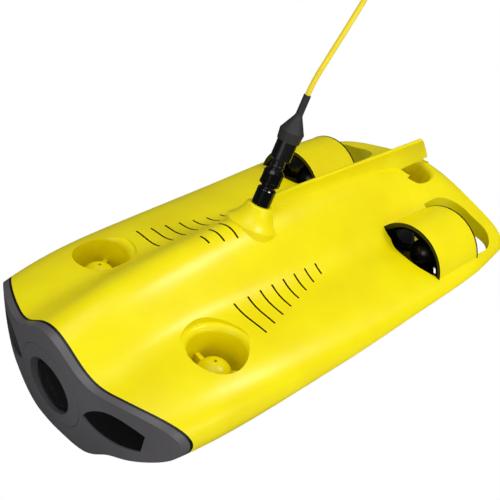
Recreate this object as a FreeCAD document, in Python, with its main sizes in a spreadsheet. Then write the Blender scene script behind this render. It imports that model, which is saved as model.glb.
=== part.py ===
import FreeCAD, Part
import math
import os
import Sketcher
from FreeCAD import Placement, Rotation, Vector

# Small underwater inspection vehicle with five thrusters and a tether.
# Frame: +X to the nose, +Y to port, +Z up. The origin is under the middle of the
# hull, on the plane that the flat belly rests on. Millimetres throughout.

doc = FreeCAD.newDocument("inspection_rov")

# ---------------------------------------------------------------- driving sizes
# alias, value, what it is
SIZES = [
    ("hull_length", 390.0, "nose lip to tail"),
    ("hull_beam", 213.6, "widest place of the wings"),
    ("hull_height", 129.0, "belly to the top of the spine, without the fin"),
    ("hull_wall", 2.6, "moulded wall of both shells"),
    ("fin_height", 138.0, "crest of the fin above the belly"),
    ("fin_thickness", 3.2, "fin at its crest"),
    ("fin_root", 13.0, "fin where it flares into the spine"),
    ("bezel_depth", 5.0, "nose panel, front to back"),
    ("gasket_depth", 1.8, "black seal between the nose panel and the shells"),
    ("camera_height", 48.0, "camera axis above the belly"),
    ("window_radius", 21.0, "round camera window"),
    ("window_ring_radius", 31.0, "round cover round the camera window"),
    ("window_seat", 181.0, "front of the camera tube, from the hull's middle"),
    ("seam_gap", 0.25, "gap round parts that are let into the nose panel"),
    ("front_duct_forward", 103.5, "front lift ducts ahead of the middle"),
    ("front_duct_side", 63.0, "front lift ducts off the centreline"),
    ("front_hub_top", 74.0, "tip of the front hubs above the belly"),
    ("front_duct_rim", 86.0, "top surface at the front ducts"),
    ("rear_duct_aft", 165.5, "rear lift duct behind the middle"),
    ("rear_hub_top", 95.0, "tip of the rear hub above the belly"),
    ("rear_duct_rim", 112.0, "top of the rear duct under the fin"),
    ("duct_bore_radius", 20.5, "bore of the lift ducts"),
    ("duct_wall", 2.2, "moulded wall of the lift ducts"),
    ("duct_rim_flare", 5.0, "rounding of the duct's mouth"),
    ("hub_radius", 12.5, "outside of the lift thrusters' hubs"),
    ("hub_length", 19.5, "dome tip to the open end of the hub"),
    ("hub_wall", 1.9, "wall of the hubs"),
    ("hub_dome", 9.0, "height of the dome"),
    ("hub_hole_radius", 1.3, "hole at the tip of the dome"),
    ("vane_thickness", 3.4, "vanes that carry the hub"),
    ("vane_height", 9.0, "vanes, along the duct"),
    ("motor_length", 13.0, "motor can"),
    ("motor_wall", 1.6, "wall of the motor can"),
    ("shaft_radius", 1.5, "propeller shaft"),
    ("shaft_clearance", 0.05, "radial play of the shafts in their bearings"),
    ("rotor_gap", 0.5, "between the magnet drum and the can"),
    ("propeller_radius", 19.4, "tip of the lift propellers"),
    ("propeller_hub_radius", 6.0, "hub of every propeller"),
    ("propeller_hub_length", 9.0, "hub of every propeller"),
    ("propeller_gap", 0.5, "propeller hub to motor"),
    ("blade_thickness", 1.5, "blade, near its root"),
    ("nacelle_side", 64.0, "thrust nacelles off the centreline"),
    ("nacelle_height", 79.0, "nacelle axis above the belly"),
    ("nacelle_radius", 33.0, "outside of the nacelles"),
    ("nacelle_wall", 2.4, "shell of the nacelles"),
    ("nacelle_front", 97.0, "front edge of the nacelles behind the middle"),
    ("nacelle_length", 49.0, "nacelle, front edge to rear edge"),
    ("liner_throat_radius", 26.5, "narrowest place of the black liner"),
    ("liner_lip", 1.2, "liner's lips, ahead of and behind the nacelle"),
    ("liner_gap", 0.2, "between the liner and the mouldings"),
    ("thrust_hub_setback", 16.0, "tip of the inlet hub behind the liner's lip"),
    ("thrust_propeller_radius", 25.6, "tip of the thrust propellers"),
    ("scoop_radius", 45.0, "round front edge of the inlet scoops ahead of the nacelles"),
    ("scoop_centre_aft", 134.0, "centre of that edge behind the middle"),
    ("scoop_centre_side", 70.0, "centre of that edge off the centreline"),
    ("loop_inboard", 37.0, "inboard wall of the tail loops"),
    ("loop_outboard", 94.0, "outboard wall of the tail loops"),
    ("loop_aft", 181.0, "rear wall of the tail loops"),
    ("loop_corner", 22.0, "rounding of the loops' rear corners"),
    ("loop_foot", 80.0, "underside of the tail loops above the belly"),
    ("slot_width", 1.5, "vent slots"),
    ("slot_pitch", 11.2, "vent slots, one to the next"),
    ("slot_first", 65.3, "foremost vent slot ahead of the middle"),
    ("housing_radius", 26.0, "round top and bottom of the pressure housing"),
    ("housing_spread", 28.0, "between the centres of those rounds"),
    ("housing_low", 44.0, "centre of the lower round above the belly"),
    ("housing_wall", 2.4, "wall of the pressure housing"),
    ("housing_front", 142.0, "front end of the pressure housing"),
    ("housing_rear", 88.0, "rear end, behind the middle"),
    ("cap_flange", 6.0, "flange of the end caps"),
    ("cap_spigot", 9.0, "part of the end caps inside the housing"),
    ("seal_section", 2.0, "O-rings of the end caps"),
    ("tray_thickness", 2.0, "tray in the housing"),
    ("battery_length", 120.0, "battery pack"),
    ("battery_height", 27.0, "battery pack"),
    ("battery_width", 36.0, "battery pack"),
    ("board_thickness", 1.6, "circuit boards"),
    ("tether_lean", 18.4, "connector axis, leaning back from upright, degrees"),
    ("tether_base_forward", 13.4, "connector axis at the top of the boss"),
    ("tether_base_height", 132.9, "top of the boss above the belly"),
    ("boss_radius", 10.5, "boss at its top"),
    ("boss_flare", 9.0, "how much wider the boss is at its foot"),
    ("boss_depth", 15.0, "boss, from its top down into the spine"),
    ("socket_radius", 7.0, "black socket on the boss"),
    ("socket_length", 13.0, "socket above the boss"),
    ("socket_depth", 12.0, "socket stem inside the boss"),
    ("stem_radius", 5.0, "socket stem"),
    ("nut_radius", 7.7, "coupling nut over its corners"),
    ("nut_length", 12.5, "coupling nut"),
    ("nut_gap", 2.4, "groove between the socket and the nut"),
    ("neck_radius", 5.0, "neck of the plug"),
    ("neck_length", 8.0, "neck of the plug between nut and sleeve"),
    ("sleeve_radius", 7.5, "fluted grip sleeve"),
    ("sleeve_length", 14.5, "fluted grip sleeve"),
    ("boot_radius", 8.3, "rubber strain relief"),
    ("boot_length", 7.5, "straight part of the strain relief"),
    ("boot_cone", 11.5, "cone of the strain relief"),
    ("boot_tail_radius", 2.65, "thin end of the strain relief"),
    ("boot_tail", 16.0, "thin end of the strain relief"),
    ("tether_radius", 2.0, "tether"),
    ("mount_pitch", 50.0, "accessory inserts, one to the other"),
    ("mount_forward", 30.0, "middle of the accessory inserts"),
    ("insert_radius", 3.2, "brass insert"),
    ("insert_bore_radius", 1.65, "tapped bore of the inserts, M4"),
    ("insert_length", 8.0, "brass insert"),
    ("screw_radius", 1.5, "shell screws, M3"),
    ("screw_head_radius", 2.75, "shell screws, M3"),
    ("ballast_length", 60.0, "ballast bars"),
    ("ballast_width", 14.0, "ballast bars"),
    ("ballast_height", 7.0, "ballast bars"),
]

sheet = doc.addObject("Spreadsheet::Sheet", "Sizes")
for row, (alias, number, meaning) in enumerate(SIZES, start=1):
    sheet.set(f"A{row}", meaning)
    sheet.set(f"B{row}", str(number))
    sheet.setAlias(f"B{row}", alias)
doc.recompute()


def measure(expression):
    """Work out an expression over the sheet, such as 'hub_radius - hub_wall'."""
    return float(sheet.evalExpression(bound(expression)))


def bound(expression):
    """Put the sheet's name before every alias in an expression."""
    words = []
    for word in expression.replace("(", "( ").replace(")", " )").split():
        known = word.lstrip("-")
        sign = word[: len(word) - len(known)]
        words.append(sign + "Sizes." + known if known in ALIASES else word)
    return " ".join(words)


ALIASES = {alias for alias, number, meaning in SIZES}
pieces = {}


def keep(label, piece, placement=None):
    """Name a finished sub-part and put it in its place."""
    piece.Label = label
    if placement is not None:
        piece.Placement = placement
    pieces[label] = piece
    return piece


def keep_shape(label, shape, placement=None):
    """Keep a shape that no sketched feature fits, such as a moulded shell."""
    piece = doc.addObject("Part::Feature", label)
    piece.Shape = shape
    return keep(label, piece, placement)


# ---------------------------------------------------------- sketched features
def origin_plane(body, role):
    return next(feature for feature in body.Origin.OriginFeatures if feature.Role == role)


def new_sketch(body, role, name):
    sketch = body.newObject("Sketcher::SketchObject", name)
    sketch.AttachmentSupport = [(origin_plane(body, role), "")]
    sketch.MapMode = "FlatFace"
    return sketch


def bind(sketch, kind, places, expression):
    index = sketch.addConstraint(Sketcher.Constraint(kind, *places, measure(expression)))
    sketch.setExpression(f"Constraints[{index}]", bound(expression))


def draw_outline(sketch, corners):
    """Draw a closed outline through (across, along) pairs of expressions.

    A corner with two more entries starts an arc: its radius, and +1 or -1 for an
    arc that turns left or right on the way to the next corner.
    """
    points = [Vector(measure(corner[0]), measure(corner[1]), 0) for corner in corners]
    count = len(points)
    first = sketch.GeometryCount
    ends = []
    for index, corner in enumerate(corners):
        start, end = points[index], points[(index + 1) % count]
        if len(corner) == 2:
            sketch.addGeometry(Part.LineSegment(start, end))
            ends.append((1, 2))
            continue
        radius, turn = measure(corner[2]), corner[3]
        chord = end - start
        rise = math.sqrt(max(radius ** 2 - chord.Length ** 2 / 4, 0.0))
        centre = (start + end) * 0.5 + Vector(-chord.y, chord.x, 0).normalize() * rise * turn
        low, high = (start, end) if turn > 0 else (end, start)
        angles = [math.atan2(point.y - centre.y, point.x - centre.x) for point in (low, high)]
        circle = Part.Circle(centre, Vector(0, 0, 1), radius)
        sketch.addGeometry(Part.ArcOfCircle(circle, *angles))
        ends.append((1, 2) if turn > 0 else (2, 1))
    for index, corner in enumerate(corners):
        following = (index + 1) % count
        joined = (first + index, ends[index][1], first + following, ends[following][0])
        sketch.addConstraint(Sketcher.Constraint("Coincident", *joined))
    for index, corner in enumerate(corners):
        start = (first + index, ends[index][0])
        bind(sketch, "DistanceX", (-1, 1, *start), corner[0])
        bind(sketch, "DistanceY", (-1, 1, *start), corner[1])
        if len(corner) > 2:
            bind(sketch, "Radius", (first + index,), corner[2])


def turned(label, corners, placement=None):
    """A piece turned about its own Z axis, from a half profile of (radius, height)."""
    body = doc.addObject("PartDesign::Body", label)
    sketch = new_sketch(body, "XZ_Plane", label + "_profile")
    draw_outline(sketch, corners)
    turn = body.newObject("PartDesign::Revolution", label + "_turn")
    turn.Profile = sketch
    turn.ReferenceAxis = (sketch, ["V_Axis"])
    turn.Angle = 360
    doc.recompute()
    return keep(label, body, placement)


def add_bars(body, label, corners, low, high, count):
    """Pad one bar between two heights of a turned body and repeat it round the axis."""
    sketch = new_sketch(body, "XY_Plane", label + "_bar_outline")
    draw_outline(sketch, corners)
    sketch.AttachmentOffset = Placement(Vector(0, 0, measure(low)), Rotation())
    sketch.setExpression("AttachmentOffset.Base.z", bound(low))
    pad = body.newObject("PartDesign::Pad", label + "_bar")
    pad.Profile = sketch
    pad.setExpression("Length", bound(f"( {high} ) - ( {low} )"))
    doc.recompute()
    pattern = body.newObject("PartDesign::PolarPattern", label + "_bars")
    pattern.Originals = [pad]
    pattern.Axis = (sketch, ["N_Axis"])
    pattern.Angle = 360
    pattern.Occurrences = count
    body.Tip = pattern
    doc.recompute()
    return pattern


def trim_round(body, label, inner, outer, low, high):
    """Turn away what stands outside a radius, so that bar ends follow a bore."""
    sketch = new_sketch(body, "XZ_Plane", label + "_trim_profile")
    draw_outline(sketch, [(inner, low), (outer, low), (outer, high), (inner, high)])
    groove = body.newObject("PartDesign::Groove", label + "_trim")
    groove.Profile = sketch
    groove.ReferenceAxis = (sketch, ["V_Axis"])
    groove.Angle = 360
    body.Tip = groove
    doc.recompute()


def slab(label, length, width, height, corner):
    """A box whose sizes are expressions and whose low corner is a point."""
    box = doc.addObject("Part::Box", label)
    box.setExpression("Length", bound(length))
    box.setExpression("Width", bound(width))
    box.setExpression("Height", bound(height))
    doc.recompute()
    return keep(label, box, Placement(corner, Rotation()))


# ------------------------------------------------------------------ the hull
HALF_LENGTH = measure("hull_length / 2")
HALF_BEAM = measure("hull_beam / 2")
HEIGHT = measure("hull_height")
WALL = measure("hull_wall")
REACH = 2 * HALF_LENGTH
UP = Vector(0, 0, 1)
FORWARD = Vector(1, 0, 0)

# Table of offsets, nose to tail, as drawn for a hull 390 long, 213.6 wide and 129 high:
# station, spine height, wing height, waist height, spine half width, half beam, belly,
# squareness of the shoulders, and how far the underside is tucked in like the tail's.
DRAWN_LENGTH, DRAWN_BEAM, DRAWN_HEIGHT = 390.0, 213.6, 129.0
OFFSETS = [
    (200, 92.5, 74.0, 51.2, 46, 89.0, 10, 5.0, 0.0),
    (165, 104.5, 78.5, 52.8, 47, 96.5, 2, 4.4, 0.0),
    (120, 114.0, 86.3, 57.2, 48, 103.6, -0.6, 3.65, 0.35),
    (60, 121.5, 89.5, 61.9, 50, 106.2, -0.6, 3.5, 0.7),
    (0, 127.0, 90.5, 66.4, 52, 106.8, -0.6, 3.45, 1.0),
    (-60, 129.0, 91.0, 72.7, 52, 106.3, 2, 3.45, 1.0),
    (-110, 127.0, 91.5, 77.7, 54, 105.8, 14, 3.6, 1.0),
    (-150, 120.0, 93.0, 79.9, 66, 102.3, 34, 4.0, 1.0),
    (-178, 115.0, 95.5, 79.6, 74, 96.7, 50, 4.0, 1.0),
    (-190, 112.0, 97.0, 78.8, 76, 93.1, 56, 4.0, 1.0),
    (-195, 109.5, 98.0, 78.0, 76, 88.0, 62, 4.0, 1.0),
]
# Lower half of a section: share of the half beam, then the share of the height from belly
# to waist, for the full sections of the nose and for the tucked ones abaft.
UNDERSIDE = [
    (0.15, 0.0, 0.0), (0.30, 0.02, 0.015), (0.43, 0.15, 0.075), (0.55, 0.33, 0.25),
    (0.68, 0.44, 0.47), (0.82, 0.58, 0.70), (0.93, 0.72, 0.885), (0.985, 0.86, 0.97),
]
TOPSIDE = [0.975, 0.92, 0.83, 0.72, 0.60, 0.48, 0.36, 0.24, 0.12]
FACE_SWEEP = 24.0
FACE_CURL = 6.0
FACE_TIP = 95.0
# How far the nose panel stands back from its lip at each height.
FACE_LEAN = [(-10, 19.0), (20, 9.5), (48, 4.0), (94, 0.0), (150, -0.5)]


def offsets_scaled(wall):
    long, wide, high = REACH / DRAWN_LENGTH, HALF_BEAM * 2 / DRAWN_BEAM, HEIGHT / DRAWN_HEIGHT
    for station, spine, wing, waist, hump, half, belly, power, tuck in OFFSETS:
        yield (
            station * long,
            spine * high - wall,
            wing * high - wall,
            waist * high,
            hump * wide,
            half * wide - wall,
            belly * high + wall,
            power,
            tuck,
        )


def section_points(row):
    station, spine, wing, waist, hump, half, belly, power, tuck = row

    def topside(share):
        across = share * half
        ridge = math.cos(math.pi * across / (2 * hump)) ** 2 if across < hump else 0.0
        shoulder = math.sqrt(1 - share ** power)
        return waist + (wing - waist) * shoulder + (spine - wing) * ridge

    port = []
    for share, full, tucked in UNDERSIDE:
        rise = full + (tucked - full) * tuck
        port.append((half * share, belly + (waist - belly) * rise))
    port.append((half, waist))
    port += [(half * share, topside(share)) for share in TOPSIDE]
    ring = [Vector(station, 0, belly)]
    ring += [Vector(station, across, up) for across, up in port]
    ring.append(Vector(station, 0, topside(0)))
    ring += [Vector(station, -across, up) for across, up in reversed(port)]
    return ring


def knot_places(points):
    """One set of curve parameters for every section, so that the skin stays light."""
    places = [0.0]
    for start, end in zip(points, points[1:] + points[:1]):
        places.append(places[-1] + math.sqrt((end - start).Length))
    return [place / places[-1] for place in places]


def hull_skin(wall):
    """Loft the hull's outside, or with a wall the space inside it."""
    rows = list(offsets_scaled(wall))
    places = knot_places(section_points(rows[3]))
    sections = []
    for row in rows:
        curve = Part.BSplineCurve()
        curve.interpolate(Points=section_points(row), PeriodicFlag=True, Parameters=places)
        sections.append(Part.Wire([curve.toShape()]))
    return Part.makeLoft(sections, True, False)


def behind_face(depth):
    """All the space behind the curved nose panel, from this depth under its front."""
    levels = []
    for height, lean in FACE_LEAN:
        edge = []
        for across in (-120, -95, -70, -45, -20, 0, 20, 45, 70, 95, 120):
            sweep = (across / FACE_TIP) ** 2
            forward = HALF_LENGTH - FACE_SWEEP * sweep - FACE_CURL * sweep ** 2 - lean - depth
            side = across * HALF_BEAM * 2 / DRAWN_BEAM
            edge.append(Vector(forward, side, height * HEIGHT / DRAWN_HEIGHT))
        curve = Part.BSplineCurve()
        curve.interpolate(Points=edge)
        rear = [Vector(-REACH, edge[-1].y, edge[0].z), Vector(-REACH, edge[0].y, edge[0].z)]
        back = Part.makePolygon([edge[-1], *rear, edge[0]])
        levels.append(Part.Wire([curve.toShape(), *back.Edges]))
    return Part.makeLoft(levels, True, False)


def across_the_hull(curve_points, corners):
    """A solid right across the hull, bounded by a curve and then straight lines."""
    curve = Part.BSplineCurve()
    curve.interpolate(Points=curve_points)
    rest = Part.makePolygon([curve_points[-1], *corners, curve_points[0]])
    return Part.Face(Part.Wire([curve.toShape(), *rest.Edges])).extrude(Vector(0, 2 * REACH, 0))


def above_waist():
    """All the space above the parting line, which climbs towards the tail."""
    line = [Vector(row[0], -REACH, row[3]) for row in offsets_scaled(0.0)]
    return across_the_hull(line, [Vector(line[-1].x, -REACH, REACH), Vector(line[0].x, -REACH, REACH)])


def upright(radius, forward, side, low, high):
    return Part.makeCylinder(radius, high - low, Vector(forward, side, low), UP)


def lengthwise(radius, front, rear, side, height):
    return Part.makeCylinder(radius, front - rear, Vector(rear, side, height), FORWARD)


NACELLE_SIDE, NACELLE_HEIGHT = measure("nacelle_side"), measure("nacelle_height")
NACELLE_FRONT = -measure("nacelle_front")
NACELLE_REAR = NACELLE_FRONT - measure("nacelle_length")
NACELLE_OUTSIDE, NACELLE_BORE = measure("nacelle_radius"), measure("nacelle_radius - nacelle_wall")

DUCT_BORE = measure("duct_bore_radius")
DUCT_OUTSIDE = measure("duct_bore_radius + duct_wall")
FLARE = measure("duct_rim_flare")
# name, forward, side, hub tip, rim
DUCTS = [
    ("front_port", measure("front_duct_forward"), measure("front_duct_side"),
     measure("front_hub_top"), measure("front_duct_rim")),
    ("front_starboard", measure("front_duct_forward"), -measure("front_duct_side"),
     measure("front_hub_top"), measure("front_duct_rim")),
    ("rear", -measure("rear_duct_aft"), 0.0, measure("rear_hub_top"), measure("rear_duct_rim")),
]


def bell_mouth(forward, side, rim):
    """The rounded mouth to cut at the top of a lift duct."""
    inner, outer = DUCT_BORE, DUCT_BORE + FLARE
    middle = FLARE * (1 - math.sqrt(0.5))
    points = [Vector(0, 0, rim - FLARE), Vector(inner, 0, rim - FLARE), Vector(outer, 0, rim)]
    curve = Part.Arc(points[1], Vector(inner + middle, 0, rim - middle), points[2]).toShape()
    top = [Vector(outer, 0, rim + FLARE), Vector(0, 0, rim + FLARE), points[0]]
    rest = Part.makePolygon([points[2], *top]).Edges
    half = Part.Wire([Part.makeLine(points[0], points[1]), curve, *rest])
    mouth = Part.Face(half).revolve(Vector(0, 0, 0), UP, 360)
    mouth.translate(Vector(forward, side, 0))
    return mouth


def mirrored(shape, side):
    return shape if side > 0 else shape.mirror(Vector(0, 0, 0), Vector(0, 1, 0))


def inlet_scoop(side, grow=0.0):
    """The slot through the wing ahead of each nacelle: a half moon seen from above."""
    middle = -measure("scoop_centre_aft")
    round_edge = upright(
        measure("scoop_radius") + grow, middle, measure("scoop_centre_side"), -REACH, REACH,
    )
    corner = Vector(NACELLE_FRONT - grow, 0, -REACH)
    return mirrored(round_edge.common(Part.makeBox(REACH, REACH, 2 * REACH, corner)), side)


def tail_loop(side):
    """The opening behind each nacelle, which leaves a loop to tie or lift the hull by."""
    inboard, outboard = measure("loop_inboard"), measure("loop_outboard")
    length = NACELLE_REAR + measure("loop_aft")
    corner = Vector(NACELLE_REAR - length, inboard, -REACH)
    gap = Part.makeBox(length, outboard - inboard, 2 * REACH, corner)
    rear = [
        edge for edge in gap.Edges
        if edge.BoundBox.XMax < corner.x + 0.01 and edge.BoundBox.ZLength > REACH
    ]
    gap = gap.makeFillet(measure("loop_corner"), rear)
    foot = measure("loop_foot")
    below = Part.makeBox(REACH, REACH, REACH, Vector(NACELLE_REAR - REACH, inboard, foot - REACH))
    return mirrored(gap.fuse(below), side)


def cavity():
    """The flooded space inside: the wings back to the nacelles, and the keel."""
    inside = hull_skin(WALL)
    keel = measure("loop_inboard") - WALL
    rear = -measure("rear_duct_aft") + DUCT_OUTSIDE
    corner = Vector(NACELLE_REAR + WALL, -REACH, -REACH)
    forward = Part.makeBox(REACH, 2 * REACH, 2 * REACH, corner)
    middle = Part.makeBox(REACH, 2 * keel, 2 * REACH, Vector(rear, -keel, -REACH))
    return inside.common(forward.fuse(middle))


def vent_slot(start, end, width):
    """A narrow upright cut with round ends between two places in plan."""
    along = end - start
    slot = Part.makeBox(along.Length, width, REACH, Vector(0, -width / 2, 0))
    slot = slot.fuse([Part.makeCylinder(width / 2, REACH, Vector(at, 0, 0)) for at in (0, along.Length)])
    slot.rotate(Vector(0, 0, 0), UP, math.degrees(math.atan2(along.y, along.x)))
    slot.translate(Vector(start.x, start.y, HEIGHT / 2))
    return slot


def vent_slots():
    """Eight slots each side of the spine, and three on its top in line with the first."""
    first, pitch, width = measure("slot_first"), measure("slot_pitch"), measure("slot_width")
    cuts = []
    for index in range(8):
        station = first - pitch * index
        outer = Vector(station, 69.5 - 3.2 * index, 0)
        inner = Vector(station + 3.2 * 0.4 ** index, 40.3, 0)
        for side in (1, -1):
            ends = [Vector(place.x, place.y * side, 0) for place in (inner, outer)]
            cuts.append(vent_slot(*ends, width))
    for index, reach in enumerate((4.2, 7.7, 9.8)):
        station = first - pitch * index
        cuts.append(vent_slot(Vector(station, -reach, 0), Vector(station, reach, 0), width))
    return cuts


LEAN = measure("tether_lean")
TETHER_FRAME = Placement(
    Vector(measure("tether_base_forward"), 0, measure("tether_base_height")),
    Rotation(Vector(0, 1, 0), -LEAN),
)


def tether_boss():
    """A mound that sweeps up out of the spine to the tether's socket."""
    top, flare, depth = measure("boss_radius"), measure("boss_flare"), measure("boss_depth")
    sweep = [Vector(top + flare, 0, -depth), Vector(top + flare * 0.3, 0, -depth * 0.55), Vector(top, 0, -2)]
    curve = Part.BSplineCurve()
    curve.interpolate(Points=sweep)
    lip = Part.Arc(sweep[2], Vector(top - 0.6, 0, -0.6), Vector(top - 2, 0, 0)).toShape()
    inner = [Vector(top - 2, 0, 0), Vector(0, 0, 0), Vector(0, 0, -depth - 6)]
    rest = Part.makePolygon([*inner, Vector(top + flare, 0, -depth - 6), sweep[0]])
    boss = Part.Face(Part.Wire([curve.toShape(), lip, *rest.Edges])).revolve(Vector(0, 0, 0), UP, 360)
    boss.Placement = TETHER_FRAME
    return boss


FIN_CLEARANCE = 6.0


def fin_blade():
    """The dorsal fin: a blade that flares into the spine and bridges the rear duct."""
    crest, thin, root = measure("fin_height"), measure("fin_thickness / 2"), measure("fin_root / 2")
    tail = -HALF_LENGTH
    sections = []
    # station, foot of the flare under the spine's top, share of the root's width
    stations = [(8, 6, 0.45), (-50, 3, 0.7), (-110, 8, 0.85), (-150, 14, 1.0), (tail, 24, 1.0)]
    for station, drop, spread in stations:
        foot = HEIGHT - drop
        half = root * spread
        waist = foot + (crest - foot) * 0.3
        left = Part.BSplineCurve()
        flank = [(half, foot), (thin + (half - thin) * 0.3, waist), (thin, crest - thin)]
        left.interpolate(Points=[Vector(station, across, up) for across, up in flank])
        right = Part.BSplineCurve()
        right.interpolate(Points=[Vector(station, -across, up) for across, up in reversed(flank)])
        edges = [Vector(station, thin, crest - thin), Vector(station, -thin, crest - thin)]
        top = Part.Arc(edges[0], Vector(station, 0, crest), edges[1])
        base = Part.makeLine(Vector(station, -half, foot), Vector(station, half, foot))
        sections.append(Part.Wire([left.toShape(), top.toShape(), right.toShape(), base]))
    blade = Part.makeLoft(sections, True, False)
    # The trailing edge leans forward as it climbs.
    edge = [(tail + 2, HEIGHT - 24), (tail + 9, HEIGHT - 5), (tail + 21, crest + 1)]
    edge = [Vector(station, -REACH, height) for station, height in edge]
    behind = [Vector(-REACH, -REACH, edge[-1].z), Vector(-REACH, -REACH, edge[0].z)]
    # It bridges the rear duct clear of its mouth.
    name, forward, side, tip, rim = DUCTS[-1]
    mouth = upright(DUCT_BORE + FLARE, forward, side, 0, rim + FIN_CLEARANCE)
    return blade.cut([across_the_hull(edge, behind), mouth])


LINER_GAP = measure("liner_gap")

# Shell screws come up from below: forward, side.
SCREWS = [(150, 44), (38, 82), (-48, 76)]
SCREW_BOSS_WALL = 2.4
SCREW_CLEARANCE = 0.1
SCREW_SHANK = 14.0
SCREW_HEAD = 2.4


def waist_at(forward):
    """Height of the parting line above a place along the hull."""
    rows = list(offsets_scaled(0.0))
    for fore, aft in zip(rows, rows[1:]):
        if aft[0] <= forward <= fore[0]:
            share = (forward - aft[0]) / (fore[0] - aft[0])
            return aft[3] + (fore[3] - aft[3]) * share
    return rows[-1][3]


def screw_places():
    for forward, side in SCREWS:
        for hand in (1, -1):
            yield forward, side * hand, waist_at(forward)


def insert_places():
    """Stations of the two accessory inserts on the centreline of the belly."""
    middle, pitch = measure("mount_forward"), measure("mount_pitch")
    return middle - pitch / 2, middle + pitch / 2


def nacelle(radius, side):
    return lengthwise(radius, NACELLE_FRONT, NACELLE_REAR, side * NACELLE_SIDE, NACELLE_HEIGHT)


def liner_recesses(side):
    """Room in the wing for the liner's lips, ahead of and behind the nacelle."""
    radius, lip = NACELLE_OUTSIDE + 2 * LINER_GAP, measure("liner_lip") + LINER_GAP
    for rear in (NACELLE_FRONT, NACELLE_REAR - lip):
        yield lengthwise(radius, rear + lip, rear, side * NACELLE_SIDE, NACELLE_HEIGHT)


def oval_prism(radius, front, rear):
    """The housing's upright oval, as a prism along the hull."""
    low, spread = measure("housing_low"), measure("housing_spread")
    bottom = lengthwise(radius, front, rear, 0, low)
    top = lengthwise(radius, front, rear, 0, low + spread)
    web = Part.makeBox(front - rear, 2 * radius, spread, Vector(rear, -radius, low))
    return bottom.fuse([top, web]).removeSplitter()


HOUSING_RADIUS = measure("housing_radius")
HOUSING_FRONT, HOUSING_REAR = measure("housing_front"), -measure("housing_rear")
CRADLES = [100.0, 20.0, -60.0]
CRADLE_THICKNESS = 3.0
CRADLE_HALF_WIDTH = 38.0
CRADLE_GAP = 0.2
INSERT_BOSS = measure("insert_length") + 1.5


def moulding(outside):
    """Both shells as one moulding, before they part at the waist."""
    hollow = cavity()
    walls = []
    for name, forward, side, tip, rim in DUCTS:
        walls.append(upright(DUCT_OUTSIDE, forward, side, 0, REACH))
        collar = DUCT_BORE + FLARE + measure("duct_wall")
        walls.append(upright(collar, forward, side, rim - 2 * FLARE, REACH))
    for forward, side, waist in screw_places():
        walls.append(upright(measure("screw_head_radius") + SCREW_BOSS_WALL, forward, side, 0, REACH))
    cradle_top = measure("housing_low")
    for forward in CRADLES:
        corner = Vector(forward, -CRADLE_HALF_WIDTH, 0)
        rib = Part.makeBox(CRADLE_THICKNESS, 2 * CRADLE_HALF_WIDTH, cradle_top, corner)
        walls.append(rib.cut(oval_prism(HOUSING_RADIUS + CRADLE_GAP, forward + 10, forward - 10)))
    walls.append(upright(measure("boss_radius"), measure("tether_base_forward"), 0, HEIGHT - 26, REACH))
    for forward in insert_places():
        walls.append(upright(measure("insert_radius") + SCREW_BOSS_WALL, forward, 0, 0, INSERT_BOSS))
    walls += [inlet_scoop(side, WALL) for side in (1, -1)]
    walls = [wall.common(hollow) for wall in walls]
    body = outside.cut(hollow).fuse(walls)
    body = body.cut([cut for side in (1, -1) for cut in (inlet_scoop(side), tail_loop(side))])
    body = body.fuse([nacelle(NACELLE_OUTSIDE, 1), nacelle(NACELLE_OUTSIDE, -1), tether_boss()])
    body = body.cut([nacelle(NACELLE_BORE, side) for side in (1, -1)])
    body = body.cut([lip for side in (1, -1) for lip in liner_recesses(side)])
    for name, forward, side, tip, rim in DUCTS:
        body = body.cut(upright(DUCT_BORE, forward, side, -1, REACH))
        body = body.cut(bell_mouth(forward, side, rim))
    body = body.fuse(fin_blade())
    depth = 2 * measure("boss_depth")
    stem = Part.makeCylinder(measure("stem_radius"), depth, Vector(0, 0, -depth))
    stem.Placement = TETHER_FRAME
    collar = Part.makeCylinder(measure("socket_radius") + LINER_GAP, REACH)
    collar.Placement = TETHER_FRAME
    cuts = [stem, collar, *vent_slots()]
    shank = measure("screw_radius") + SCREW_CLEARANCE
    head = measure("screw_head_radius") + SCREW_CLEARANCE
    for forward, side, waist in screw_places():
        cuts.append(upright(shank, forward, side, -1, waist + SCREW_SHANK - 4))
        cuts.append(upright(head, forward, side, -1, waist - 6))
    for forward in insert_places():
        cuts.append(upright(measure("insert_radius"), forward, 0, -1, measure("insert_length")))
    ground = Part.makeBox(2 * REACH, 2 * REACH, REACH, Vector(-REACH, -REACH, -REACH))
    return body.cut([*cuts, ground])


outside = hull_skin(0.0).cut(Part.makeBox(2 * REACH, 2 * REACH, REACH, Vector(-REACH, -REACH, -REACH)))
BEZEL, GASKET = measure("bezel_depth"), measure("gasket_depth")
shells = moulding(outside).common(behind_face(BEZEL + GASKET))
upper_half = above_waist()
keep_shape("upper_shell", shells.common(upper_half))
keep_shape("lower_shell", shells.cut(upper_half))
doc.recompute()


# ------------------------------------------------------------- the nose panel
def on_camera_axis(radius, rear, front):
    return lengthwise(radius, front, rear, 0, measure("camera_height"))


# Lamp window seen from ahead: side, height. The inner end is drawn to a point.
LAMP_CORNERS = [
    (33.5, 46.5), (42.5, 57.5), (54.0, 63.0), (66.5, 61.5), (78.0, 56.0),
    (75.0, 40.0), (64.0, 37.2), (52.7, 37.2), (42.0, 40.5),
]
LAMP_WINDOW_DEPTH = 1.2
LAMP_WINDOW_THICKNESS = 2.4
LAMP_BOWL_DEPTH = 13.0
LAMP_WALL = 1.8


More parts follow.
